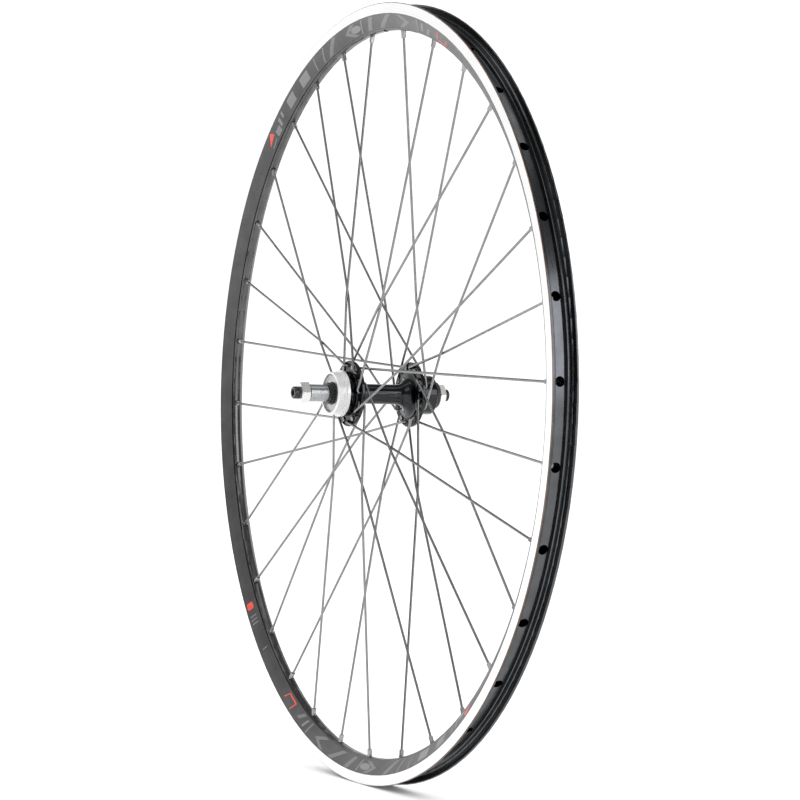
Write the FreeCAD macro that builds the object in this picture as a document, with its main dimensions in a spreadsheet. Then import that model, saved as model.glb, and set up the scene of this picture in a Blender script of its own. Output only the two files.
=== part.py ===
"""Bicycle rear wheel without its tyre: double-wall rim, crossed spokes and a threaded freewheel hub.

Frame: the wheel turns about Y, +Z is up, the origin is at the wheel's centre (middle of the rim and of
the axle), and the freewheel (drive) side is at -Y. Millimetres.
"""
import FreeCAD
import Part
import Sketcher

import math
import os
import re

from FreeCAD import Placement, Rotation, Vector

# Driving dimensions: alias, value in mm (or a plain count), what it is.
DRIVING = [
    # rim
    ("lip_r", 317.0, "outer radius of the rim's flanges"),
    ("seat_r", 311.0, "bead seat radius, for a 622 mm tyre"),
    ("track_r", 308.5, "inner edge of the brake track"),
    ("bed_r", 295.5, "inner surface of the spoke bed"),
    ("rim_half", 10.75, "half of the rim's outside width"),
    ("rim_wall", 1.3, "wall thickness of the rim's flanges and bridge"),
    ("well_r", 308.4, "bottom of the tyre well"),
    ("well_half", 3.6, "half of the flat bottom of the tyre well"),
    ("bed_half", 3.3, "half of the spoke bed, out to the crease"),
    ("bed_wall", 2.4, "thickness of the spoke bed"),
    ("access_r", 3.8, "radius of the holes a nipple is dropped in through"),
    ("nipple_hole_r", 2.35, "radius of the nipple holes in the spoke bed"),
    ("valve_r", 3.25, "radius of the valve hole"),
    # hub shell
    ("flange_r", 26.9, "outer radius of both spoke flanges"),
    ("pitch_r", 22.5, "radius of the circle of spoke holes"),
    ("flange_thick", 2.8, "thickness of both spoke flanges"),
    ("drive_flange_y", 19.2, "distance of the drive flange's middle from the wheel's centre"),
    ("left_flange_y", 35.5, "distance of the left flange's middle from the wheel's centre"),
    ("spoke_hole_r", 1.3, "radius of the spoke holes"),
    ("barrel_r", 8.2, "radius of the hub's barrel"),
    ("flare_r", 11.4, "radius of the flare from the barrel to the left flange"),
    ("drive_flare_r", 6.5, "radius of the flare from the barrel to the drive flange"),
    ("hub_bore_r", 6.2, "bore through the barrel, clear of the axle"),
    ("thread_r", 17.45, "radius over the freewheel thread's crests"),
    ("thread_pitch", 1.058, "pitch of the freewheel thread, 24 to the inch"),
    ("thread_groove", 0.44, "width of a thread groove at the crests"),
    ("thread_start", 1.3, "from the shoulder to the first thread groove"),
    ("thread_end", 0.6, "least plain length at the boss's outer end"),
    ("boss_end_y", 37.2, "outer end of the freewheel boss"),
    ("boss_stop_y", 29.4, "shoulder the freewheel stops against"),
    ("boss_inner_y", 27.1, "inner edge of the bare shoulder"),
    ("boss_stop_r", 19.0, "radius of the shoulder"),
    ("shoulder_r", 18.1, "radius of the neck behind the shoulder"),
    ("recess_r", 15.7, "radius of the dust cap's recess in the boss"),
    ("housing_r", 16.2, "outer radius of the left bearing housing"),
    ("housing_end_y", 53.9, "outer end of the left bearing housing"),
    ("left_recess_r", 14.2, "radius of the dust cap's recess in the housing"),
    # bearings
    ("ball_r", 3.175, "radius of a quarter-inch ball"),
    ("ball_count", 9, "balls in each bearing"),
    ("ball_pitch_r", 9.45, "radius of the circle of ball centres"),
    ("race_gap", 0.1, "room between a ball and its races"),
    ("drive_ball_y", 31.0, "distance of the drive balls from the wheel's centre"),
    ("left_ball_y", 48.6, "distance of the left balls from the wheel's centre"),
    ("cup_r", 13.8, "outer radius of both cups"),
    ("cup_mouth", 3.7, "from the balls to a cup's open end"),
    ("cup_floor", 4.6, "from the balls to a cup's closed end"),
    ("cup_bore_r", 8.2, "hole in a cup's floor"),
    ("cap_bore_r", 9.0, "hole in a dust cap"),
    ("cap_thick", 0.8, "thickness of a dust cap"),
    # axle set
    ("axle_r", 5.0, "radius of the axle over its thread"),
    ("axle_half", 70.0, "half of the axle's length"),
    ("axle_bore_r", 2.6, "bore for the quick-release rod"),
    ("axle_relief_r", 4.6, "radius of the thread relief inside each locknut"),
    ("axle_pitch", 1.0, "pitch of the axle's thread"),
    ("dropout_half", 65.0, "half of the width over the locknuts"),
    ("cone_r", 8.7, "outer radius of both cones"),
    ("cone_flats", 7.5, "half of the width across a cone's wrench flats"),
    ("cone_flat_length", 4.1, "length of a cone's wrench flats"),
    ("cone_lead", 1.4, "from the balls in to a cone's small end"),
    ("drive_cone_end_y", 40.3, "outer end of the drive cone"),
    ("left_cone_end_y", 58.0, "outer end of the left cone"),
    ("spacer_r", 7.0, "outer radius of the drive spacer"),
    ("spacer_end_y", 56.6, "outer end of the drive spacer"),
    ("washer_r", 8.0, "outer radius of the lock washers"),
    ("drive_nut_y", 57.4, "inner face of the drive locknut"),
    ("left_nut_y", 59.2, "inner face of the left locknut"),
    ("nut_flats", 17.0, "width across a locknut's flats"),
    ("seal_r", 11.2, "outer radius of the left rubber seal"),
    ("seat_gap", 0.02, "room between pieces that screw or press together"),
    # spokes and nipples
    ("spoke_r", 1.0, "radius of a spoke"),
    ("spoke_count", 32, "spokes in the wheel"),
    ("spoke_head_r", 2.2, "radius of a spoke's head"),
    ("spoke_head", 1.1, "thickness of a spoke's head"),
    ("elbow_r", 2.6, "radius of a spoke's elbow"),
    ("elbow_start", 0.3, "how far inside the flange's face an elbow starts"),
    ("crossing_gap", 0.12, "room between two spokes where they cross"),
    ("crossing_bend_r", 40.0, "radius of a spoke's slight bend at its outer crossing"),
    ("nipple_r", 2.0, "radius of a nipple's body"),
    ("nipple_head_r", 3.0, "radius of a nipple's head"),
    ("nipple_head", 3.2, "height of a nipple's head"),
    ("nipple_body", 8.6, "length of a nipple below its head"),
    ("nipple_flats", 3.3, "width across a nipple's spanner flats"),
    ("nipple_flat_length", 4.5, "length of a nipple's spanner flats"),
]

SPOKE_STEP = 11.25  # degrees between neighbouring spokes at the rim
HUB_LEAD = 67.5  # degrees from a spoke's rim hole to its hub hole, for three crossings
CROSSING_LEAD = 11.25  # degrees from a spoke's rim hole to its outermost crossing

doc = FreeCAD.newDocument("RearWheel")
sheet = doc.addObject("Spreadsheet::Sheet", "sizes")
for row, (alias, value, meaning) in enumerate(DRIVING, start=1):
    sheet.set(f"A{row}", alias)
    sheet.set(f"B{row}", str(value))
    sheet.set(f"C{row}", meaning)
    sheet.setAlias(f"B{row}", alias)
doc.recompute()

NAMES = {alias for alias, value, meaning in DRIVING}
sub_parts = []


def bound(formula):
    """The formula with each driving dimension's name turned into its cell in the sheet."""

    def cell(word):
        return f"sizes.{word.group()}" if word.group() in NAMES else word.group()

    return re.sub(r"[a-z_]+", cell, formula)


def size(formula):
    """The present value of a formula of driving dimensions."""
    value = sheet.evalExpression(bound(formula))
    return float(getattr(value, "Value", value))


def new_body(name):
    body = doc.addObject("PartDesign::Body", name)
    body.Label = name
    return body


def keep(sub_part):
    """Mark an object as a sub-part to be written to its own file."""
    sub_parts.append(sub_part)
    return sub_part


def origin_feature(body, role):
    return next(f for f in body.Origin.OriginFeatures if f.Role == role)


def new_sketch(body, name, plane="XY_Plane", offset=None):
    sketch = body.newObject("Sketcher::SketchObject", name)
    sketch.AttachmentSupport = [(origin_feature(body, plane), "")]
    sketch.MapMode = "FlatFace"
    if offset is not None:
        sketch.AttachmentOffset = offset
    return sketch


def arc_between(start, end, bend):
    """Arc from start to end, turning left for a positive bend radius and right for a negative one."""
    chord = end.sub(start)
    across = Vector(-chord.y, chord.x, 0).normalize()
    reach = math.sqrt(max(bend * bend - chord.Length ** 2 / 4, 0.0))
    centre = (start + end) * 0.5 + across * math.copysign(reach, bend)
    first, last = (start, end) if bend > 0 else (end, start)
    angles = [math.atan2(p.y - centre.y, p.x - centre.x) for p in (first, last)]
    return Part.ArcOfCircle(Part.Circle(centre, Vector(0, 0, 1), abs(bend)), *angles)


def outline(sketch, corners):
    """Closed outline of (radius, axial position[, bend]) formulas, each corner bound to the sheet.

    A bend is the radius of the arc to the next corner: positive turns left, negative right.
    """
    count = len(corners)
    points = [Vector(size(c[0]), size(c[1]), 0) for c in corners]
    base = sketch.GeometryCount
    ends = []
    constraints = []
    formulas = []
    for i, corner in enumerate(corners):
        start, end = points[i], points[(i + 1) % count]
        if len(corner) == 3:
            bend = size(corner[2])
            sketch.addGeometry(arc_between(start, end, bend), False)
            ends.append((1, 2) if bend > 0 else (2, 1))
        else:
            sketch.addGeometry(Part.LineSegment(start, end), False)
            ends.append((1, 2))
    for i, corner in enumerate(corners):
        geo = base + i
        following = base + (i + 1) % count
        next_start = ends[(i + 1) % count][0]
        constraints.append(Sketcher.Constraint("Coincident", geo, ends[i][1], following, next_start))
        formulas.append(None)
        for kind, formula, value in (
            ("DistanceX", corner[0], points[i].x),
            ("DistanceY", corner[1], points[i].y),
        ):
            constraints.append(Sketcher.Constraint(kind, -1, 1, geo, ends[i][0], value))
            formulas.append(formula)
        if len(corner) == 3:
            constraints.append(Sketcher.Constraint("Radius", geo, abs(size(corner[2]))))
            formulas.append(corner[2].lstrip("-"))
    first = sketch.ConstraintCount
    sketch.addConstraint(constraints)
    for i, formula in enumerate(formulas):
        if formula is not None:
            sketch.setExpression(f"Constraints[{first + i}]", bound(formula))


def bind(feature, prop, formula):
    """Give a feature's property a value that follows the sheet."""
    setattr(feature, prop, size(formula))
    feature.setExpression(prop, bound(formula))


def circle(sketch, across, along, radius):
    """A circle in a sketch, with its centre and radius bound to the sheet."""
    centre = Vector(size(across), size(along), 0)
    index = sketch.addGeometry(Part.Circle(centre, Vector(0, 0, 1), size(radius)), False)
    for constraint, formula in (
        (Sketcher.Constraint("DistanceX", -1, 1, index, 3, centre.x), across),
        (Sketcher.Constraint("DistanceY", -1, 1, index, 3, centre.y), along),
        (Sketcher.Constraint("Radius", index, size(radius)), radius),
    ):
        number = sketch.addConstraint(constraint)
        sketch.setExpression(f"Constraints[{number}]", bound(formula))


def loop(sketch, corners):
    """A closed run of straight lines through corners."""
    for corner, following in zip(corners, corners[1:] + corners[:1]):
        sketch.addGeometry(Part.LineSegment(corner, following), False)


def revolve(body, name, outlines, kind="PartDesign::Revolution"):
    """Turn closed outlines of (radius, axial position) corners about the Y axis."""
    sketch = new_sketch(body, name + "_outline")
    for corners in outlines:
        outline(sketch, corners)
    feature = body.newObject(kind, name)
    feature.Profile = (sketch, [""])
    feature.ReferenceAxis = (sketch, ["V_Axis"])
    feature.Angle = 360
    sketch.Visibility = False
    return feature


def turned(name, corners):
    """A body made by turning one closed outline."""
    body = new_body(name)
    revolve(body, name + "_turning", [corners])
    return body


def face_count(body):
    doc.recompute()
    return len(body.Shape.Faces)


def pocket(body, name, sketch, length, reverse=False, both_ways=False):
    """A pocket of a sketch; it has to leave new faces where it cut."""
    before = face_count(body)
    cut = body.newObject("PartDesign::Pocket", name)
    cut.Profile = (sketch, [""])
    cut.Reversed = reverse
    cut.Midplane = both_ways
    bind(cut, "Length", length)
    if face_count(body) == before:
        raise RuntimeError(f"{name} cut nothing")
    return cut


def around(body, name, feature, count, axis="Y_Axis"):
    """Repeat a feature round the wheel's axis."""
    before = face_count(body)
    pattern = body.newObject("PartDesign::PolarPattern", name)
    pattern.Originals = [feature]
    pattern.Axis = (origin_feature(body, axis), [""])
    pattern.Angle = 360
    pattern.Occurrences = count
    body.Tip = pattern
    if face_count(body) == before:
        raise RuntimeError(f"{name} changed nothing")
    return pattern


def along_y(body, name, feature, pitch, count, outward):
    """Repeat a feature along the wheel's axis, towards +Y when outward is 1 and -Y when it is -1."""
    pattern = body.newObject("PartDesign::LinearPattern", name)
    pattern.Originals = [feature]
    pattern.Direction = (origin_feature(body, "Y_Axis"), [""])
    pattern.Reversed = outward < 0
    pattern.Mode = "Spacing"
    pattern.Offset = size(pitch)
    pattern.Occurrences = count
    body.Tip = pattern
    doc.recompute()
    return pattern


def other_side(formula):
    """An axial position's formula on the other side of the wheel's centre."""
    return f"-({formula})"


def mirrored(corners):
    """The same outline on the other side of the wheel's centre, with its arcs turning the other way."""
    flipped = []
    for radius, along, *bend in corners:
        turned_over = [b.lstrip("-") if b.startswith("-") else "-" + b for b in bend]
        flipped.append((radius, other_side(along), *turned_over))
    return flipped


def closed_on_itself(half):
    """A half outline with y above 0, made whole by adding its mirror image in reverse order."""
    back = []
    for i in range(len(half) - 1, -1, -1):
        radius, along = half[i][0], other_side(half[i][1])
        arc = half[i - 1][2:] if i > 0 else ()
        back.append((radius, along) + arc)
    return half + back


def about_axle(degrees):
    """Turned about the wheel's axis, from +Z towards +X."""
    return Rotation(Vector(0, 1, 0), degrees)


# ---------------------------------------------------------------- rim


def rim():
    """Double-wall rim: spoke bed, sloping sides, brake tracks, hooked flanges and a tyre well."""
    body = new_body("rim")
    outside = closed_on_itself([
        ("bed_r", "bed_half * 0.3", "-2.8"),
        ("bed_r + 1.1", "bed_half - 0.1"),
        ("bed_r + 1.75", "bed_half + 0.1"),
        ("bed_r + 1.45", "bed_half + 0.75", "-40"),
        ("track_r - 0.15", "rim_half - 0.25"),
        ("track_r", "rim_half"),
        ("lip_r - 0.5", "rim_half", "-0.5"),
        ("lip_r", "rim_half - 0.5"),
        ("lip_r", "rim_half - rim_wall + 0.1", "-0.65"),
        ("lip_r - 0.7", "rim_half - rim_wall - 0.5"),
        ("lip_r - 1.5", "rim_half - rim_wall - 0.5"),
        ("lip_r - 2.3", "rim_half - rim_wall"),
        ("seat_r + 1.0", "rim_half - rim_wall", "1.0"),
        ("seat_r", "rim_half - rim_wall - 1.0"),
        ("seat_r", "well_half + 1.7", "-0.8"),
        ("seat_r - 0.6", "well_half + 1.0"),
        ("well_r", "well_half"),
    ])
    chamber = closed_on_itself([
        ("bed_r + bed_wall", "bed_half - 0.4"),
        ("track_r - 6.3", "rim_half - 4.2"),
        ("track_r - 0.4", "rim_half - rim_wall - 0.2"),
        ("seat_r - rim_wall", "rim_half - rim_wall - 1.3"),
        ("seat_r - rim_wall", "well_half + 2.2"),
        ("well_r - 1.2", "well_half + 0.1"),
    ])
    revolve(body, "rim_extrusion", [outside, chamber])
    access = new_sketch(body, "access_hole", offset=Placement(Vector(0, 0, size("track_r - 4")), Rotation()))
    circle(access, "0", "0", "access_r")
    count = int(size("spoke_count"))
    around(body, "access_holes", pocket(body, "access", access, "8", reverse=True), count)
    seat = new_sketch(body, "nipple_hole", offset=Placement(Vector(0, 0, size("bed_r - 3")), Rotation()))
    circle(seat, "0", "0", "nipple_hole_r")
    around(body, "nipple_holes", pocket(body, "nipple_seat", seat, "8", reverse=True), count)
    valve = new_sketch(body, "valve_hole", offset=Placement(Vector(0, 0, 0), about_axle(SPOKE_STEP / 2)))
    circle(valve, "0", "0", "valve_r")
    pocket(body, "valve", valve, "lip_r", reverse=True)
    return keep(body)


# ---------------------------------------------------------------- hub shell


def hub_shell():
    """One-piece shell: freewheel boss, drive flange, barrel, flared left flange and bearing housing."""
    drive_out = "drive_flange_y + flange_thick / 2"
    drive_in = "drive_flange_y - flange_thick / 2"
    left_in = "left_flange_y - flange_thick / 2"
    left_out = "left_flange_y + flange_thick / 2"
    outer = [
        ("recess_r", "-boss_end_y"),
        ("thread_r - 0.5", "-boss_end_y"),
        ("thread_r", "-boss_end_y + 0.5"),
        ("thread_r", "-boss_stop_y"),
        ("boss_stop_r", "-boss_stop_y"),
        ("boss_stop_r", "-boss_inner_y"),
        ("shoulder_r", "-boss_inner_y"),
        ("shoulder_r", f"-({drive_out}) - 0.8", "-0.8"),
        ("shoulder_r + 0.8", f"-({drive_out})"),
        ("flange_r - 0.6", f"-({drive_out})", "0.6"),
        ("flange_r", f"-({drive_out}) + 0.6"),
        ("flange_r", f"-({drive_in}) - 0.6", "0.6"),
        ("flange_r - 0.6", f"-({drive_in})"),
        ("barrel_r + drive_flare_r", f"-({drive_in})", "-drive_flare_r"),
        ("barrel_r", f"-({drive_in}) + drive_flare_r"),
        ("barrel_r", f"{left_in} - 0.9 - flare_r", "-flare_r"),
        ("barrel_r + flare_r", f"{left_in} - 0.9"),
        ("barrel_r + flare_r + 0.35", left_in),
        ("flange_r - 0.6", left_in, "0.6"),
        ("flange_r", f"{left_in} + 0.6"),
        ("flange_r", f"{left_out} - 0.6", "0.6"),
        ("flange_r - 0.6", left_out),
        ("housing_r + 2", left_out, "-2"),
        ("housing_r", f"{left_out} + 2"),
        ("housing_r", "housing_end_y - 1.6", "1.6"),
        ("housing_r - 0.9", "housing_end_y - 0.2"),
        ("left_recess_r", "housing_end_y"),
    ]
    inner = [
        ("left_recess_r", "left_ball_y + cup_mouth"),
        ("cup_r + seat_gap", "left_ball_y + cup_mouth"),
        ("cup_r + seat_gap", "left_ball_y - cup_floor - seat_gap"),
        ("hub_bore_r", "left_ball_y - cup_floor - seat_gap"),
        ("hub_bore_r", "-(drive_ball_y - cup_floor - seat_gap)"),
        ("cup_r + seat_gap", "-(drive_ball_y - cup_floor - seat_gap)"),
        ("cup_r + seat_gap", "-(drive_ball_y + cup_mouth)"),
        ("recess_r", "-(drive_ball_y + cup_mouth)"),
    ]
    body = new_body("hub_shell")
    revolve(body, "shell_turning", [outer + inner])
    groove_half = "thread_groove / 2"
    first = "-(boss_stop_y + thread_start)"
    groove = revolve(body, "thread_groove_cut", [[
        ("thread_r + 0.1", f"{first} - {groove_half} * 1.25"),
        ("thread_r + 0.1", f"{first} + {groove_half} * 1.25"),
        ("thread_r - thread_groove * 0.85", first),
    ]], kind="PartDesign::Groove")
    turns = int(size("(boss_end_y - boss_stop_y - thread_start - thread_end) / thread_pitch")) + 1
    along_y(body, "thread_grooves", groove, "thread_pitch", turns, -1)
    for side, middle, start in (
        ("drive", "-drive_flange_y", 0.0),
        ("left", "left_flange_y", SPOKE_STEP),
    ):
        sheet_plane = Placement(Vector(0, 0, -size(middle)), Rotation(Vector(0, 0, 1), start))
        holes = new_sketch(body, side + "_spoke_hole", "XZ_Plane", sheet_plane)
        circle(holes, "0", "pitch_r", "spoke_hole_r")
        hole = pocket(body, side + "_hole", holes, "flange_thick + 0.4", both_ways=True)
        around(body, side + "_spoke_holes", hole, int(size("spoke_count / 2")))
    return keep(body)


# ---------------------------------------------------------------- bearings

RACE = "(ball_r + race_gap)"


def cup(name, ball_y, side):
    """Pressed steel cup: its race wraps the outer, inboard side of the balls."""
    corners = [
        ("cup_r", f"{ball_y} + cup_mouth"),
        (f"ball_pitch_r + {RACE}", f"{ball_y} + cup_mouth"),
        (f"ball_pitch_r + {RACE}", ball_y, f"-{RACE}"),
        ("ball_pitch_r", f"{ball_y} - {RACE}"),
        ("cup_bore_r", f"{ball_y} - {RACE}"),
        ("cup_bore_r", f"{ball_y} - cup_floor"),
        ("cup_r - 0.8", f"{ball_y} - cup_floor", "0.8"),
        ("cup_r", f"{ball_y} - cup_floor + 0.8"),
    ]
    return keep(turned(name, corners if side > 0 else mirrored(corners)))


def cone(name, ball_y, end_y, side):
    """Adjusting cone: its race wraps the inner, outboard side of the balls, and its end has two flats."""
    corners = [
        ("axle_r + seat_gap", f"{ball_y} - cone_lead"),
        (f"ball_pitch_r - {RACE} - 0.4", f"{ball_y} - cone_lead"),
        (f"ball_pitch_r - {RACE}", f"{ball_y} - cone_lead + 0.4"),
        (f"ball_pitch_r - {RACE}", ball_y, f"-{RACE}"),
        ("cone_r", f"{ball_y} + sqrt({RACE} * {RACE} - (ball_pitch_r - cone_r) * (ball_pitch_r - cone_r))"),
        ("cone_r", f"{end_y} - 0.5"),
        ("cone_r - 0.5", end_y),
        ("axle_r + seat_gap", end_y),
    ]
    body = turned(name, corners if side > 0 else mirrored(corners))
    plane = Placement(Vector(0, 0, -side * size(f"{end_y} - cone_flat_length / 2")), Rotation())
    flats = new_sketch(body, name + "_flats", "XZ_Plane", plane)
    reach = size("cone_r + 1")
    for edge in (1, -1):
        near, far = edge * size("cone_flats"), edge * reach
        loop(flats, [Vector(near, -reach), Vector(far, -reach), Vector(far, reach), Vector(near, reach)])
    pocket(body, name + "_wrench_flats", flats, "cone_flat_length", both_ways=True)
    return keep(body)


def dust_cap(name, seat_y, outer_r, side):
    """Thin pressed ring with a raised outer edge, which closes a bearing."""
    corners = [
        ("cap_bore_r", seat_y),
        (outer_r, seat_y),
        (outer_r, f"{seat_y} + 0.3"),
        (f"{outer_r} - 0.6", f"{seat_y} + 0.3"),
        (f"{outer_r} - 0.6", f"{seat_y} + cap_thick + 0.5"),
        (f"{outer_r} - 1.1", f"{seat_y} + cap_thick + 0.5"),
        (f"{outer_r} - 1.5", f"{seat_y} + cap_thick"),
        ("cap_bore_r + 0.5", f"{seat_y} + cap_thick"),
        ("cap_bore_r", f"{seat_y} + cap_thick - 0.4"),
    ]
    return keep(turned(name, corners if side > 0 else mirrored(corners)))


def balls(name, ball_y):
    """A full ring of loose balls."""
    group = doc.addObject("Part::Compound", name)
    group.Label = name
    count = int(size("ball_count"))
    links = []
    for i in range(count):
        ball = doc.addObject("Part::Sphere", f"{name}_ball_{i + 1:02d}")
        bind(ball, "Radius", "ball_r")
        spot = about_axle(i * 360 / count).multVec(Vector(0, 0, size("ball_pitch_r")))
        ball.Placement = Placement(spot + Vector(0, size(ball_y), 0), Rotation())
        links.append(ball)
    group.Links = links
    return keep(group)


# ---------------------------------------------------------------- axle set


def axle():
    """Hollow axle with a thread at each end, a relief under each locknut and chamfered ends."""
    half = [
        ("axle_r", "dropout_half - 0.8"),
        ("axle_relief_r", "dropout_half - 0.8"),
        ("axle_relief_r", "dropout_half"),
        ("axle_r", "dropout_half"),
        ("axle_r", "axle_half - 0.7"),
        ("axle_r - 0.7", "axle_half"),
        ("axle_bore_r + 0.3", "axle_half"),
        ("axle_bore_r", "axle_half - 0.3"),
    ]
    body = turned("axle", half + [(radius, other_side(along)) for radius, along in reversed(half)])
    for side, sign in (("left", 1), ("drive", -1)):
        first = f"{sign} * (dropout_half + 0.7)"
        groove = revolve(body, side + "_thread_groove", [[
            ("axle_r + 0.1", f"{first} - 0.27"),
            ("axle_r + 0.1", f"{first} + 0.27"),
            ("axle_r - 0.37", first),
        ]], kind="PartDesign::Groove")
        along_y(body, side + "_thread", groove, "axle_pitch", 4, sign)
    return keep(body)


def ring(name, inner, outer, start, end, edge="0.25"):
    """A plain turned ring with its outer edges broken; start is nearer the wheel's centre."""
    return keep(turned(name, [
        (inner, start),
        (f"{outer} - {edge}", start),
        (outer, f"{start} + (({end}) - ({start})) / abs(({end}) - ({start})) * {edge}"),
        (outer, f"{end} - (({end}) - ({start})) / abs(({end}) - ({start})) * {edge}"),
        (f"{outer} - {edge}", end),
        (inner, end),
    ]))


def locknut(name, inner_face, side):
    """Hexagonal locknut, its corners turned to a cone on both faces."""
    body = new_body(name)
    middle = f"({inner_face} + dropout_half) / 2"
    plane = Placement(Vector(0, 0, -side * size(middle)), Rotation())
    hexagon = new_sketch(body, name + "_hexagon", "XZ_Plane", plane)
    corner_r = size("nut_flats") / math.sqrt(3)
    turns = [math.radians(60 * i) for i in range(6)]
    loop(hexagon, [Vector(corner_r * math.cos(turn), corner_r * math.sin(turn)) for turn in turns])
    circle(hexagon, "0", "0", "axle_r + seat_gap")
    pad = body.newObject("PartDesign::Pad", name + "_block")
    pad.Profile = (hexagon, [""])
    pad.Midplane = True
    bind(pad, "Length", f"dropout_half - {inner_face}")
    for face, depth in (("dropout_half", -1), (inner_face, 1)):
        revolve(body, f"{name}_chamfer_{'out' if depth < 0 else 'in'}", [[
            ("nut_flats / 2 - 0.2", f"{side} * ({face})"),
            ("nut_flats / 2 + 2.3", f"{side} * ({face} + {depth} * 1.25)"),
            ("nut_flats / 2 + 2.3", f"{side} * ({face})"),
        ]], kind="PartDesign::Groove")
    return keep(body)


def left_seal():
    """Rubber ring that closes the left bearing over its cone."""
    inner_y = "left_ball_y + cup_mouth + cap_thick + 0.8"
    return keep(turned("left_seal", [
        ("cone_r + seat_gap", inner_y),
        ("seal_r + 0.9", inner_y, "0.4"),
        ("seal_r + 0.9", f"{inner_y} + 0.8"),
        ("seal_r", f"{inner_y} + 1.2"),
        ("seal_r - 0.2", "left_nut_y - 1.0", "1.0"),
        ("seal_r - 1.2", "left_nut_y - seat_gap"),
        ("cone_r + seat_gap", "left_nut_y - seat_gap"),
    ]))


# ---------------------------------------------------------------- spokes


def tangent_run(centre, radius, target, turn):
    """Where a straight run to the target leaves an arc that turns left (turn 1) or right (turn -1)."""
    gap = target - centre
    lean = math.acos(radius / gap.Length)
    angle = math.atan2(gap.y, gap.x) - turn * lean
    return centre + Vector(math.cos(angle), math.sin(angle), 0) * radius


def bend_at(corner, before, after, radius):
    """Start, middle and end of the arc that rounds a polyline's corner."""
    into = (before - corner).normalize()
    out = (after - corner).normalize()
    half = into.getAngle(out) / 2
    reach = radius / math.tan(half)
    axis = (into + out).normalize()
    middle = corner + axis * (radius / math.sin(half) - radius)
    return corner + into * reach, middle, corner + out * reach


def spoke_path(flange_y, outward, elbow_out):
    """The wire's centre line in its own plane: x from the hub hole towards the rim, y along the axle.

    It runs through the flange, turns at the elbow, bends slightly where it crosses its neighbour and
    ends inside the nipple. elbow_out is 1 when the elbow lies on the flange's outer face, else -1.
    """
    side = outward * elbow_out
    face = size("flange_thick / 2")
    start = Vector(0, flange_y - side * (face + size("spoke_head + seat_gap")), 0)
    turn_y = flange_y + side * (face - size("elbow_start"))
    turn_start = Vector(0, turn_y, 0)
    elbow_r = size("elbow_r")
    centre = Vector(elbow_r, turn_y, 0)
    reach = rim_reach()
    crossing_x = crossing_reach()
    base_y = flange_y * (1 - crossing_x / reach)
    crossing = Vector(crossing_x, base_y - outward * elbow_out * size("spoke_r + crossing_gap / 2"), 0)
    seat = Vector(reach, 0, 0)
    end = seat + (seat - crossing).normalize() * size("nipple_head + 0.5")
    turn_end = tangent_run(centre, elbow_r, crossing, -side)
    toward = (turn_start + turn_end) * 0.5 - centre
    turn_middle = centre + toward.normalize() * elbow_r
    bend_start, bend_middle, bend_end = bend_at(crossing, turn_end, end, size("crossing_bend_r"))
    return [
        Part.LineSegment(start, turn_start),
        Part.Arc(turn_start, turn_middle, turn_end),
        Part.LineSegment(turn_end, bend_start),
        Part.Arc(bend_start, bend_middle, bend_end),
        Part.LineSegment(bend_end, end),
    ]


def nipple_seat_r():
    """Radius from the axle to the middle of the spoke bed, which every spoke's line passes through."""
    return size("bed_r + bed_wall / 2")


def rim_reach():
    """Distance, seen along the axle, from a hub hole to the middle of the spoke bed."""
    hub = size("pitch_r")
    seat = nipple_seat_r()
    return math.sqrt(hub ** 2 + seat ** 2 - 2 * hub * seat * math.cos(math.radians(HUB_LEAD)))


def crossing_reach():
    """Distance, seen along the axle, from a hub hole to the spoke's outermost crossing."""
    seat = nipple_seat_r()
    nearest = seat * size("pitch_r") * math.sin(math.radians(HUB_LEAD)) / rim_reach()
    nearest_angle = math.degrees(math.acos(nearest / seat))
    crossing_r = nearest / math.cos(math.radians(nearest_angle - CROSSING_LEAD))
    to_crossing = math.sqrt(crossing_r ** 2 - nearest ** 2)
    to_hole = math.sqrt(size("pitch_r") ** 2 - nearest ** 2)
    return to_crossing - to_hole


def spoke_placement(rim_angle, lead):
    """Puts a spoke's own plane through its hub hole and its rim hole; lead is 1 or -1."""
    hub = about_axle(rim_angle + lead * HUB_LEAD).multVec(Vector(0, 0, size("pitch_r")))
    seat = about_axle(rim_angle).multVec(Vector(0, 0, nipple_seat_r()))
    run = seat - hub
    turn = math.degrees(math.atan2(-run.z, run.x))
    return Placement(hub, Rotation(Vector(0, 1, 0), turn))


def spoke(name, flange_y, outward, elbow_out, placement):
    """Plain-gauge spoke: head, elbow, straight run."""
    body = new_body(name)
    path = new_sketch(body, name + "_path")
    segments = spoke_path(flange_y, outward, elbow_out)
    for segment in segments:
        path.addGeometry(segment, False)
    start = segments[0].StartPoint
    section = new_sketch(body, name + "_section", "XZ_Plane", Placement(Vector(0, 0, -start.y), Rotation()))
    circle(section, "0", "0", "spoke_r")
    wire = body.newObject("PartDesign::AdditivePipe", name + "_wire")
    wire.Profile = (section, [""])
    wire.Spine = (path, [])
    inner = outward * elbow_out
    base = f"({start.y})"
    revolve(body, name + "_head", [[
        ("0", base),
        ("spoke_head_r - 0.4", base),
        ("spoke_head_r", f"{base} + {inner} * 0.4"),
        ("spoke_head_r", f"{base} + {inner} * 0.7"),
        ("spoke_head_r - 0.5", f"{base} + {inner} * spoke_head"),
        ("0", f"{base} + {inner} * spoke_head"),
    ]])
    body.Placement = placement
    return keep(body)


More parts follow.
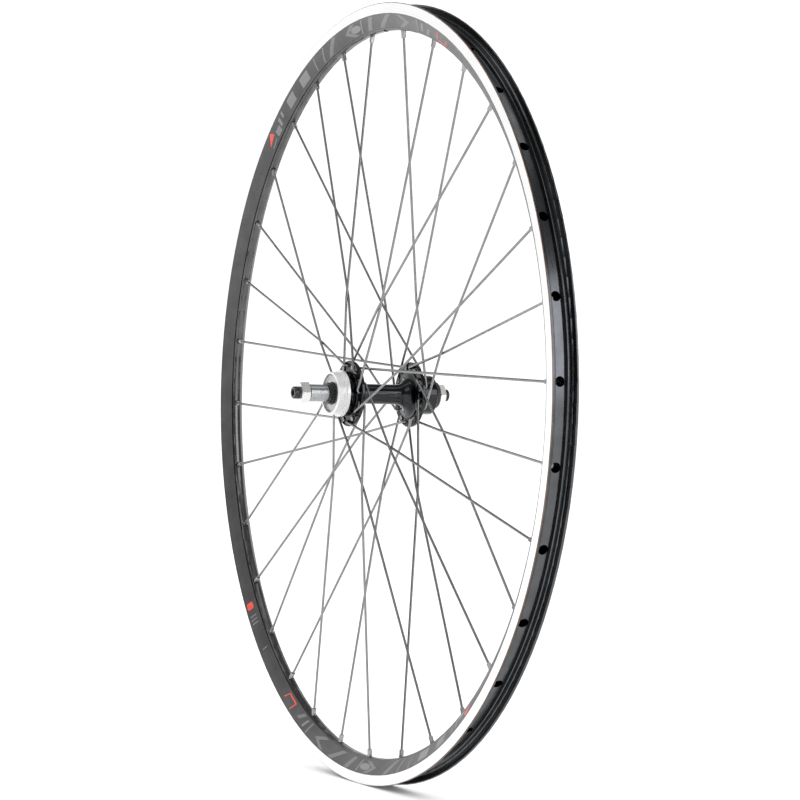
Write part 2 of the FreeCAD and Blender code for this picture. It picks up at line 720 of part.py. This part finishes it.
def nipple_blank():
    """A nipple on its own: +Y towards the rim, its head's underside at y = 0, bored for the spoke."""
    blank = turned("nipple_blank", [
        ("spoke_r + seat_gap", "-nipple_body"),
        ("nipple_r - 0.25", "-nipple_body"),
        ("nipple_r", "-nipple_body + 0.25"),
        ("nipple_r", "0"),
        ("nipple_head_r - 0.6", "0.3"),
        ("nipple_head_r", "1.3"),
        ("nipple_head_r", "nipple_head - 0.4"),
        ("nipple_head_r - 0.4", "nipple_head"),
        ("spoke_r + seat_gap", "nipple_head"),
    ])
    plane = Placement(Vector(0, 0, size("nipple_body")), Rotation())
    flats = new_sketch(blank, "nipple_flats_outline", "XZ_Plane", plane)
    circle(flats, "0", "0", "nipple_head_r")
    half = size("nipple_flats / 2")
    loop(flats, [Vector(half, half), Vector(-half, half), Vector(-half, -half), Vector(half, -half)])
    pocket(blank, "nipple_spanner_flats", flats, "nipple_flat_length * 2", both_ways=True)
    return blank


def nipple_placement(flange_y, outward, elbow_out, placement):
    """Sits a nipple on the spoke bed, in line with its spoke's last run."""
    last_run = spoke_path(flange_y, outward, elbow_out)[-1]
    along = (last_run.EndPoint - last_run.StartPoint).normalize()
    seat = Vector(rim_reach(), 0, 0) + along * (size("bed_wall") / 2 + 0.25)
    direction = placement.Rotation.multVec(along)
    return Placement(placement.multVec(seat), Rotation(Vector(0, 1, 0), direction))


def spokes_and_nipples():
    """Both sides' spokes, each its own sub-part, and each side's nipples as one group."""
    blank = nipple_blank()
    doc.recompute()
    per_side = int(size("spoke_count / 2"))
    for side, outward, flange_y, first_lead in (
        ("drive", -1, -size("drive_flange_y"), -1),
        ("left", 1, size("left_flange_y"), 1),
    ):
        start_angle = 0.0 if side == "drive" else SPOKE_STEP
        nipples = []
        for i in range(per_side):
            rim_angle = start_angle + 2 * SPOKE_STEP * i
            lead = first_lead if i % 2 == 0 else -first_lead
            elbow_out = lead
            placement = spoke_placement(rim_angle, lead)
            spoke(f"{side}_spoke_{i + 1:02d}", flange_y, outward, elbow_out, placement)
            nipple = blank.Shape.copy()
            nipple.Placement = nipple_placement(flange_y, outward, elbow_out, placement)
            nipples.append(nipple)
        group = doc.addObject("Part::Feature", f"{side}_nipples")
        group.Label = f"{side}_nipples"
        group.Shape = Part.makeCompound(nipples)
        keep(group)


def build():
    axle()
    cone("drive_cone", "drive_ball_y", "drive_cone_end_y", -1)
    cone("left_cone", "left_ball_y", "left_cone_end_y", 1)
    ring("drive_spacer", "axle_r + seat_gap", "spacer_r", "-drive_cone_end_y", "-spacer_end_y", "0.4")
    ring("drive_lock_washer", "axle_r + seat_gap", "washer_r", "-spacer_end_y", "-drive_nut_y")
    ring("left_lock_washer", "axle_r + seat_gap", "washer_r", "left_cone_end_y", "left_nut_y")
    locknut("drive_locknut", "drive_nut_y", -1)
    locknut("left_locknut", "left_nut_y", 1)
    left_seal()
    hub_shell()
    cup("drive_cup", "drive_ball_y", -1)
    cup("left_cup", "left_ball_y", 1)
    dust_cap("drive_dust_cap", "drive_ball_y + cup_mouth", "recess_r - seat_gap", -1)
    dust_cap("left_dust_cap", "left_ball_y + cup_mouth", "left_recess_r - seat_gap", 1)
    balls("drive_balls", "-drive_ball_y")
    balls("left_balls", "left_ball_y")
    rim()
    spokes_and_nipples()


def check():
    """Every object has to have computed, and every sub-part has to hold valid solids."""
    doc.recompute()
    for item in doc.Objects:
        faults = {"Invalid", "Error"} & set(item.State)
        if faults:
            raise RuntimeError(f"{item.Name}: {faults}")
    for sub_part in sub_parts:
        shape = sub_part.Shape
        if shape.isNull() or not shape.isValid() or not shape.Solids:
            raise RuntimeError(f"{sub_part.Label}: no valid solid")


def write():
    os.makedirs("parts", exist_ok=True)
    for sub_part in sub_parts:
        sub_part.Shape.exportStep(f"parts/{sub_part.Label}.step")
    print(f"{len(sub_parts)} sub-parts written")


build()
check()
write()
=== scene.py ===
"""Looks of a bare bicycle rear wheel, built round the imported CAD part. Metres; the axle is Y, +Z is up."""

import math

import bmesh
import bpy
from mathutils import Matrix, Vector
from mathutils.bvhtree import BVHTree


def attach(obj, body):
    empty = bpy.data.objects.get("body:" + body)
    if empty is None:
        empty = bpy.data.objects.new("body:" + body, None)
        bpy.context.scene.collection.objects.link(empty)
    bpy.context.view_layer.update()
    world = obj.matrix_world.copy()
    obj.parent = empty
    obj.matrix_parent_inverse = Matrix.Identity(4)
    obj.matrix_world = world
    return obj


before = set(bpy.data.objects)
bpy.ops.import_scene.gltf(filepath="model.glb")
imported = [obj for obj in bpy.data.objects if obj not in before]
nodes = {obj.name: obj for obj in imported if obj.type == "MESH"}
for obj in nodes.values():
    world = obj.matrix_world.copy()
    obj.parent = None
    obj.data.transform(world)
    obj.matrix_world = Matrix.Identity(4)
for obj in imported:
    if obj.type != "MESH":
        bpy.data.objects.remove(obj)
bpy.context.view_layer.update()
MM = 0.001

# The rim's section. R is a distance from the axle and Y a distance from the rim's middle plane.
BED_EDGE_R = 296.98 * MM  # the spoke bed's outer edge
BED_EDGE_Y = 4.2 * MM
SIDE_EDGE_Y = 3.9 * MM  # where a side wall starts, beside the spoke bed
SIDE_LOW_R = 297.3 * MM  # the part of a side wall that carries graphics
SIDE_HIGH_R = 308.1 * MM
TRACK_R = 308.5 * MM  # the brake track's inner edge
TRACK_Y = 10.75 * MM
LIP_R = 316.4 * MM  # the lip's edge lies past both of these; its coppery colour is a painted warm reflection
LIP_Y = 10.2 * MM
FLOOR_Z = -317.0 * MM  # the lowest point of the rim
BARE_BOSS_Y = -27.1 * MM  # inner end of the hub's bare freewheel boss


# ---------------------------------------------------------------- materials


class Look:
    """A procedural material: one Principled shader and the nodes that feed it."""

    def __init__(self, name, **values):
        self.material = bpy.data.materials.new(name)
        self.material.use_nodes = True
        self.tree = self.material.node_tree
        self.shader = self.tree.nodes["Principled BSDF"]
        for socket, value in values.items():
            self.shader.inputs[socket.replace("_", " ")].default_value = value
        self.object_space = self.node("ShaderNodeTexCoord").outputs["Object"]

    def node(self, kind, **settings):
        made = self.tree.nodes.new(kind)
        for name, value in settings.items():
            setattr(made, name, value)
        return made

    def feed(self, socket, source):
        if isinstance(source, (int, float)):
            socket.default_value = source
        else:
            self.tree.links.new(source, socket)

    def calculate(self, operation, *terms):
        made = self.node("ShaderNodeMath", operation=operation)
        for socket, term in zip(made.inputs, terms):
            self.feed(socket, term)
        return made.outputs[0]

    def blend(self, first, second, share, other_share):
        """A weighted sum of two sources."""
        return self.calculate("ADD", self.calculate("MULTIPLY", first, share),
                              self.calculate("MULTIPLY", second, other_share))

    def section_space(self):
        """Coordinates (radius, along the axle, 0), the same all the way round the axle."""
        split = self.node("ShaderNodeSeparateXYZ")
        self.feed(split.inputs[0], self.object_space)
        across, along, up = split.outputs
        squares = [self.calculate("MULTIPLY", side, side) for side in (across, up)]
        radius = self.calculate("SQRT", self.calculate("ADD", *squares))
        join = self.node("ShaderNodeCombineXYZ")
        self.feed(join.inputs[0], radius)
        self.feed(join.inputs[1], along)
        return join.outputs[0]

    def noise(self, size_mm, detail=3.0, space=None, roughness=0.55):
        made = self.node("ShaderNodeTexNoise")
        self.feed(made.inputs["Vector"], space or self.object_space)
        made.inputs["Scale"].default_value = 1 / (size_mm * MM)
        made.inputs["Detail"].default_value = detail
        made.inputs["Roughness"].default_value = roughness
        return made.outputs["Fac"]

    def spread(self, source, low, high, start=0.3, end=0.7):
        """The source's start..end stretched to low..high."""
        made = self.node("ShaderNodeMapRange")
        self.feed(made.inputs["Value"], source)
        for socket, value in zip(("From Min", "From Max", "To Min", "To Max"), (start, end, low, high)):
            made.inputs[socket].default_value = value
        return made.outputs[0]

    def shades(self, source, dark, light, start=0.3, end=0.7):
        """A colour between dark and light by the source."""
        made = self.node("ShaderNodeValToRGB")
        made.color_ramp.elements[0].position = start
        made.color_ramp.elements[0].color = (*dark, 1)
        made.color_ramp.elements[1].position = end
        made.color_ramp.elements[1].color = (*light, 1)
        self.feed(made.inputs[0], source)
        return made.outputs[0]

    def bump(self, height, depth_mm, under=None):
        made = self.node("ShaderNodeBump")
        made.inputs["Strength"].default_value = 1.0
        made.inputs["Distance"].default_value = depth_mm * MM
        self.feed(made.inputs["Height"], height)
        if under is not None:
            self.feed(made.inputs["Normal"], under)
        return made.outputs[0]

    def finish(self, colour, roughness, normal):
        self.feed(self.shader.inputs["Base Color"], colour)
        self.feed(self.shader.inputs["Roughness"], roughness)
        self.feed(self.shader.inputs["Normal"], normal)
        return self.material


def grey(value, warmth=0.0):
    return (value * (1 + warmth), value, value * (1 - warmth))


def drawn_metal(name, dark, light, rough, metallic, line_mm=0.5, line_depth=0.003, mottle_mm=18.0, **values):
    """Extruded or turned metal: lines that follow the section, a soft mottle and small scuffs."""
    look = Look(name, Metallic=metallic, **values)
    lines = look.noise(line_mm, 4.0, look.section_space(), 0.65)
    mottle = look.noise(mottle_mm, 4.0)
    scuffs = look.noise(2.2, 6.0, roughness=0.7)
    tone = look.blend(lines, mottle, 0.35, 0.65)
    gloss = look.blend(lines, scuffs, 0.5, 0.5)
    fine = look.bump(scuffs, line_depth * 0.6)
    return look.finish(
        look.shades(tone, dark, light, 0.38, 0.62),
        look.spread(gloss, *rough, start=0.38, end=0.62),
        look.bump(lines, line_depth, fine),
    )


def machined(name, dark, light, rough, pitch_mm, depth_mm, metallic=1.0):
    """Bare metal cut by a lathe tool: fine rings of slightly uneven depth and a faint cloud of handling."""
    look = Look(name, Metallic=metallic)
    rings = look.noise(pitch_mm, 2.0, look.section_space())
    cloud = look.noise(25.0, 3.0)
    dust = look.noise(0.8, 5.0, roughness=0.7)
    tone = look.blend(rings, cloud, 0.7, 0.3)
    gloss = look.blend(rings, dust, 0.5, 0.5)
    return look.finish(
        look.shades(tone, dark, light, 0.38, 0.62),
        look.spread(gloss, *rough, start=0.38, end=0.62),
        look.bump(rings, depth_mm),
    )


def printed(name, dark, light, rough):
    """Thin printed graphic with the faint lines of the metal beneath and a slightly dusty gloss."""
    look = Look(name, Metallic=0.0)
    lines = look.noise(0.6, 3.0, look.section_space())
    dust = look.noise(3.0, 6.0, roughness=0.7)
    return look.finish(look.shades(dust, dark, light), look.spread(dust, *rough), look.bump(lines, 0.002))


def wire(name):
    """Drawn stainless wire with a soft mottle and fine draw marks."""
    look = Look(name, Metallic=1.0)
    marks = look.noise(0.35, 5.0, roughness=0.7)
    mottle = look.noise(9.0, 4.0)
    return look.finish(
        look.shades(mottle, grey(0.22), grey(0.27), 0.35, 0.65),
        look.spread(marks, 0.26, 0.38),
        look.bump(marks, 0.0015),
    )


def plated(name, dark, light, rough):
    """Nickel or zinc plate: bright, with small pits and faint handling marks."""
    look = Look(name, Metallic=1.0)
    pits = look.noise(0.5, 5.0, roughness=0.7)
    mottle = look.noise(4.0, 4.0)
    return look.finish(
        look.shades(mottle, dark, light),
        look.spread(pits, *rough),
        look.bump(pits, 0.006),
    )


def rubber(name):
    """Moulded seal rubber with a fine grain and a dusty bloom."""
    look = Look(name, Metallic=0.0, IOR=1.5)
    grain = look.noise(0.25, 4.0, roughness=0.7)
    bloom = look.noise(5.0, 4.0)
    return look.finish(
        look.shades(bloom, grey(0.012), grey(0.024)),
        look.spread(grain, 0.48, 0.66),
        look.bump(grain, 0.012),
    )


looks = {
    "rim_anodised": drawn_metal("rim_anodised", grey(0.050), grey(0.072), (0.32, 0.44), 0.35),
    "anodised_black": drawn_metal("anodised_black", grey(0.028, -0.04), grey(0.042, -0.04), (0.10, 0.17), 1.0,
                                  line_mm=0.3, line_depth=0.0008),
    "spoke_steel": wire("spoke_steel"),
    "nipple_plate": plated("nipple_plate", grey(0.26), grey(0.36), (0.2, 0.32)),
    "black_steel": drawn_metal("black_steel", grey(0.050), grey(0.085), (0.22, 0.34), 0.85, line_mm=0.25),
    "grey_steel": drawn_metal("grey_steel", grey(0.34, -0.02), grey(0.42, -0.02), (0.26, 0.38), 1.0,
                              line_mm=0.25),
    "dark_washer": drawn_metal("dark_washer", grey(0.03), grey(0.06), (0.3, 0.45), 0.8, line_mm=0.3),
    "plated_steel": plated("plated_steel", grey(0.68, 0.01), grey(0.78, 0.01), (0.26, 0.38)),
    "race_steel": drawn_metal("race_steel", grey(0.4), grey(0.5), (0.16, 0.26), 1.0, line_mm=0.2),
    "cap_steel": drawn_metal("cap_steel", grey(0.40), grey(0.50), (0.3, 0.42), 1.0, line_mm=0.25),
    "cap_black": drawn_metal("cap_black", grey(0.02), grey(0.035), (0.26, 0.4), 0.5, line_mm=0.25),
    "ball_chrome": plated("ball_chrome", grey(0.62), grey(0.7), (0.05, 0.12)),
    "seal_rubber": rubber("seal_rubber"),
}
bed_gloss = drawn_metal("spoke_bed_gloss", grey(0.085), grey(0.115), (0.18, 0.28), 0.95)
channel_gloss = drawn_metal("channel_gloss", grey(0.075, -0.04), grey(0.105, -0.04), (0.16, 0.26), 1.0)
# The lip's coppery colour is a painted warm reflection along its edge, not lit by any lamp.
lip_painted_reflection = drawn_metal("lip_painted_reflection", (0.16, 0.09, 0.06), (0.24, 0.14, 0.10), (0.26, 0.36), 0.7)
track_bare = machined("brake_track_bare", grey(0.80), grey(0.88), (0.28, 0.36), 1.0, 0.0012)
boss_bare = machined("boss_bare", grey(0.66), grey(0.80), (0.36, 0.44), 1.1, 0.0014, 0.6)
print_light = printed("print_light", grey(0.15), grey(0.175), (0.32, 0.44))
print_mid = printed("print_mid", grey(0.115), grey(0.135), (0.32, 0.44))
print_red = printed("print_red", (0.58, 0.045, 0.03), (0.68, 0.07, 0.045), (0.3, 0.42))

for node in nodes.values():
    for slot in node.material_slots:
        slot.material = looks[slot.material.name.split(".")[0]]


def radius_of(point):
    return math.hypot(point.x, point.z)


def finish_areas(node, extra, choose):
    """Gives the node further material slots and sorts its faces into them by their centres."""
    mesh = nodes[node].data
    for material in extra:
        mesh.materials.append(material)
    for face in mesh.polygons:
        face.material_index = choose(face)


def rim_area(face):
    """0 side wall, 1 spoke bed, 2 brake track, 3 tyre channel and chamber, 4 lip (coloured coppery as a
    painted warm reflection).
    """
    radius, along = radius_of(face.center), abs(face.center.y)
    if radius > LIP_R and along > LIP_Y:
        return 4
    if radius > TRACK_R - 0.1 * MM and along > TRACK_Y - 0.05 * MM:
        return 2
    if radius < BED_EDGE_R and along < BED_EDGE_Y:
        return 1
    outward = face.normal.y * face.center.y > 0
    if outward and along > SIDE_EDGE_Y and radius < TRACK_R:
        return 0
    return 3


finish_areas("rim", [bed_gloss, track_bare, channel_gloss, lip_painted_reflection], rim_area)
finish_areas("hub_shell", [boss_bare], lambda face: int(face.center.y < BARE_BOSS_Y + 0.01 * MM))


# ---------------------------------------------------------------- printed graphics on the side walls

ARC_MM = 5.28  # millimetres of side wall in one degree
WALL_MM = 12.6  # width of the side wall that a graphic can cover
WALL_MIDDLE_MM = 6.4
FILM_TOP = 0.07 * MM  # how far a graphic stands out of the side wall
FILM = 0.11 * MM  # its thickness, so that its underside is sunk in the wall
CELL_MM = 1.0  # a patch's cells are no longer than this, so it follows the wall's curve
CLEAR_OF_RIM = 0.03  # a distance from the rim's middle plane that is outside the rim

rim_tree = BVHTree.FromPolygons([v.co for v in nodes["rim"].data.vertices],
                                [tuple(p.vertices) for p in nodes["rim"].data.polygons])


def on_wall(side, angle, height):
    """The point on a side wall at an angle (degrees, +Z towards +X) and a height in mm from the spoke bed."""
    radius = SIDE_LOW_R + (SIDE_HIGH_R - SIDE_LOW_R) * height / WALL_MM
    turn = math.radians(angle)
    outside = Vector((radius * math.sin(turn), side * CLEAR_OF_RIM, radius * math.cos(turn)))
    hit, normal, _, _ = rim_tree.ray_cast(outside, Vector((0, -side, 0)))
    if normal.y * side < 0:
        normal = -normal
    return hit + normal * FILM_TOP


def add_patch(target, side, centre, corners):
    """Adds a convex patch, its corners (mm along the rim, mm up the wall), laid on the side wall."""
    low = Vector((min(u for u, v in corners), min(v for u, v in corners), 0))
    high = Vector((max(u for u, v in corners), max(v for u, v in corners), 0))
    cells = [max(1, math.ceil((high[i] - low[i]) / CELL_MM)) for i in (0, 1)]
    patch = bmesh.new()
    bmesh.ops.create_grid(patch, x_segments=cells[0], y_segments=cells[1], size=0.5)
    for vertex in patch.verts:
        vertex.co = Vector([low[i] + (vertex.co[i] + 0.5) * (high[i] - low[i]) for i in (0, 1)] + [0])
    area = sum(a[0] * b[1] - b[0] * a[1] for a, b in zip(corners, corners[1:] + corners[:1]))
    for a, b in zip(corners, corners[1:] + corners[:1]):
        out = Vector((b[1] - a[1], a[0] - b[0], 0)) * (1 if area > 0 else -1)
        bmesh.ops.bisect_plane(patch, geom=patch.verts[:] + patch.edges[:] + patch.faces[:], dist=1e-6,
                               plane_co=(*a, 0), plane_no=out, clear_outer=True)
    top = {}
    bottom = {}
    for vertex in patch.verts:
        place = on_wall(side, centre + vertex.co.x / ARC_MM, vertex.co.y)
        top[vertex] = target.verts.new(place)
        bottom[vertex] = target.verts.new(place - Vector((0, side, 0)) * FILM)
    for face in patch.faces:
        target.faces.new([top[v] for v in face.verts])
        target.faces.new([bottom[v] for v in reversed(face.verts)])
    for edge in patch.edges:
        if edge.is_boundary:
            a, b = edge.verts
            target.faces.new([top[a], top[b], bottom[b], bottom[a]])
    patch.free()


def bar(along, width, lean=4.0, low=0.6, high=12.0):
    """A leaning bar from the spoke bed's side to the track's."""
    slope = lean / WALL_MM
    return [[(along + slope * low, low), (along + width + slope * low, low),
             (along + width + slope * high, high), (along + slope * high, high)]]


def stroke(start, top, width, low=0.8, high=12.0):
    """A wide leaning stroke: where it starts at its lower edge, where it arrives at its upper edge."""
    return [[(start, low), (start + width, low), (top + width, high), (top, high)]]


def chevron(point, width, lean):
    """An arrowhead lying along the rim, its point towards +."""
    low, middle, high = 0.9, WALL_MIDDLE_MM, 11.9
    return [[(point - lean, low), (point - lean + width, low), (point + width, middle), (point, middle)],
            [(point, middle), (point + width, middle), (point - lean + width, high), (point - lean, high)]]


def lens(along, half_length, half_height, steps=24):
    """A flat oval."""
    turns = [2 * math.pi * i / steps for i in range(steps)]
    return [[(along + half_length * math.cos(turn), WALL_MIDDLE_MM + half_height * math.sin(turn))
             for turn in turns]]


def graphics(name, material, side, groups):
    """One printed piece on one side wall (-1 drive, 1 left): groups are (centre angle, list of patches)."""
    built = bmesh.new()
    for centre, patches in groups:
        for corners in patches:
            add_patch(built, side, centre, corners)
    bmesh.ops.recalc_face_normals(built, faces=built.faces)
    mesh = bpy.data.meshes.new(name)
    built.to_mesh(mesh)
    built.free()
    mesh.materials.append(material)
    piece = bpy.data.objects.new(name, mesh)
    bpy.context.scene.collection.objects.link(piece)
    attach(piece, "wheel")
    return piece


def band_mid():
    """The darker tone of one band of graphics, left to right in mm from its middle."""
    return (stroke(-61, -53, 3) + stroke(-50, -33, 8) + chevron(-10, 8, -14) + stroke(30, 40, 7)
            + stroke(52, 72, 8) + chevron(104, 8, 14) + stroke(124, 127, 2.4)
            + stroke(140, 147, 5, 1.0, 8.0))


def band_light():
    """The lighter tone of one band of graphics."""
    return (bar(-174, 9, 3, 1.5, 6.5) + bar(-163, 4, 3, 3, 9.5) + bar(-155, 3, 3, 5.5, 10.5)
            + bar(-139, 15, 3, 2.6, 10.6) + bar(-108, 17, 3, 2.4, 10.4) + bar(-76, 1.5)
            + lens(11, 9, 3.0) + stroke(18, 24, 2) + stroke(132, 136, 3, 2.0, 10.0)
            + [[(-189, 1.4), (-177, 2.4), (-177, 3.2), (-189, 2.2)]])


def band_red():
    """A wedge at one end of a band, and a fine open wedge at the other."""
    return ([[(-190.5, 4.4), (-175.5, 6.8), (-179.5, 11.8)]] + stroke(162, 166, 1.3, 2.0, 10.8)
            + stroke(178, 182, 1.3, 1.6, 8.4) + [[(163, 2.0), (178, 1.6), (178, 2.8), (163, 3.2)]])


def panel():
    """A small square panel with its corners cut."""
    return [[(-3.6, 4.4), (-3.6, 9.6), (-2.6, 10.6), (2.6, 10.6),
             (3.6, 9.6), (3.6, 4.4), (2.6, 3.4), (-2.6, 3.4)]]


def small_lines(way):
    """Short lines beside the small panel; way is the direction they run along the rim."""
    lines = []
    for along, width, high in ((11, 1.2, 10), (15, 1.2, 10), (19, 1.2, 10), (49, 1.1, 8.5)):
        lines += bar(way * along - width / 2, width, 0, 3, high)
    return lines


# Degrees from +Z towards +X on the drive side; the left side mirrors them.
BANDS = (-5.0, 176.5)  # the middles of the two bands of graphics
PANEL = -128.0  # the small panel
for way, label in ((-1, "drive"), (1, "left")):
    middles = [middle * -way for middle in BANDS]
    panel_middle = PANEL * -way
    graphics(f"graphics_mid_{label}", print_mid, way, [(m, band_mid()) for m in middles])
    graphics(f"graphics_light_{label}", print_light, way,
             [(m, band_light()) for m in middles] + [(panel_middle, small_lines(way))])
    graphics(f"graphics_red_{label}", print_red, way,
             [(m, band_red()) for m in middles] + [(panel_middle, panel())])


# ---------------------------------------------------------------- floor, light and camera


CAMERA_AZIMUTH = 64.716  # degrees from -Y towards +X
CAMERA_ELEVATION = -2.313  # degrees
CAMERA_DISTANCE = 1.8757
CAMERA_TURN = -0.479  # degrees that the camera is carried round the axle
BEHIND_WHEEL = (-0.904, 0.427, 0.0)  # level, away from the camera
BACKDROP_EDGES = (0.76, 0.94)  # cosines from BEHIND_WHEEL between which the pale backdrop fades in
FLOOR_HALF = 30


def stage_floor():
    """A pale matt floor that the wheel stands on; it is in the picture and not in the model."""
    floor = bpy.data.meshes.new("floor")
    corners = [(x * FLOOR_HALF, y * FLOOR_HALF, FLOOR_Z) for x, y in ((-1, -1), (1, -1), (1, 1), (-1, 1))]
    floor.from_pydata(corners, [], [(0, 1, 2, 3)])
    look = Look("floor", Metallic=0.0, Specular_IOR_Level=0.0,
                Emission_Color=(1, 1, 1, 1), Emission_Strength=0.08)
    cloud = look.noise(400.0, 2.0)
    shade = look.shades(cloud, grey(0.86), grey(0.88))
    floor.materials.append(look.finish(shade, 0.9, look.bump(cloud, 0.01)))
    placed = bpy.data.objects.new("floor", floor)
    bpy.context.scene.collection.objects.link(placed)


def soft_box(name, azimuth, elevation, distance, width, height, power, colour=(1.0, 1.0, 1.0)):
    """An area light facing the wheel; azimuth 0 is at -Y and turns towards +X."""
    lamp = bpy.data.lights.new(name, "AREA")
    lamp.shape = "RECTANGLE"
    lamp.size, lamp.size_y = width, height
    lamp.energy = power
    lamp.color = colour
    placed = bpy.data.objects.new(name, lamp)
    bpy.context.scene.collection.objects.link(placed)
    turn, rise = math.radians(azimuth), math.radians(elevation)
    direction = Vector((math.sin(turn) * math.cos(rise), -math.cos(turn) * math.cos(rise), math.sin(rise)))
    spot = direction * distance
    placed.location = spot
    placed.rotation_euler = (-spot).to_track_quat("-Z", "Y").to_euler()
    return placed


def surroundings(seen, reflected, backdrop, ambient):
    """A plain pale studio: brightness in view, in reflections, in those behind the wheel, and as fill."""
    world = bpy.data.worlds.new("studio")
    bpy.context.scene.world = world
    world.use_nodes = True
    tree = world.node_tree
    path = tree.nodes.new("ShaderNodeLightPath")
    way = tree.nodes.new("ShaderNodeTexCoord").outputs["Generated"]
    towards = tree.nodes.new("ShaderNodeVectorMath")
    towards.operation = "DOT_PRODUCT"
    tree.links.new(way, towards.inputs[0])
    towards.inputs[1].default_value = BEHIND_WHEEL
    behind = tree.nodes.new("ShaderNodeMapRange")
    behind.interpolation_type = "SMOOTHSTEP"
    tree.links.new(towards.outputs["Value"], behind.inputs["Value"])
    stretch = (*BACKDROP_EDGES, reflected, backdrop)
    for socket, value in zip(("From Min", "From Max", "To Min", "To Max"), stretch):
        behind.inputs[socket].default_value = value
    level = None
    for ray, value in (("Is Glossy Ray", behind.outputs[0]), ("Is Camera Ray", seen)):
        pick = tree.nodes.new("ShaderNodeMix")
        pick.data_type = "FLOAT"
        tree.links.new(path.outputs[ray], pick.inputs["Factor"])
        if level is None:
            pick.inputs["A"].default_value = ambient
            tree.links.new(value, pick.inputs["B"])
        else:
            tree.links.new(level, pick.inputs["A"])
            pick.inputs["B"].default_value = value
        level = pick.outputs["Result"]
    tree.links.new(level, tree.nodes["Background"].inputs["Strength"])
    tree.nodes["Background"].inputs["Color"].default_value = (1, 1, 1, 1)


def place_camera():
    """Three quarters round from the drive side and a little below the axle."""
    azimuth, elevation = math.radians(CAMERA_AZIMUTH), math.radians(CAMERA_ELEVATION)
    direction = Vector((math.sin(azimuth) * math.cos(elevation), -math.cos(azimuth) * math.cos(elevation),
                        math.sin(elevation)))
    optics = bpy.data.cameras.new("camera")
    optics.sensor_width = 36.0
    optics.lens = 102.96
    optics.shift_x, optics.shift_y = 0.0360, -0.0075
    optics.clip_start = 0.05
    camera = bpy.data.objects.new("camera", optics)
    bpy.context.scene.collection.objects.link(camera)
    facing = (-direction).to_track_quat("-Z", "Y").to_matrix().to_4x4()
    carried = Matrix.Rotation(math.radians(CAMERA_TURN), 4, "Y")
    camera.matrix_world = carried @ Matrix.Translation(direction * CAMERA_DISTANCE) @ facing
    bpy.context.scene.camera = camera


stage_floor()
surroundings(seen=1.15, reflected=0.26, backdrop=1.05, ambient=1.3)
soft_box("key", 40, 40, 2.6, 1.6, 1.2, 9)
soft_box("side_card", 292, 12, 2.6, 2.4, 1.8, 12.5)
soft_box("barrel_card", 115, 13, 2.5, 0.9, 1.3, 13, colour=(0.94, 0.95, 1.0))
strip = soft_box("overhead", 0, 90, 1.5, 4.5, 0.5, 8)
strip.rotation_euler = (0, 0, math.radians(64.7))  # its length runs across the picture
place_camera()
bpy.context.scene.view_settings.view_transform = "Standard"
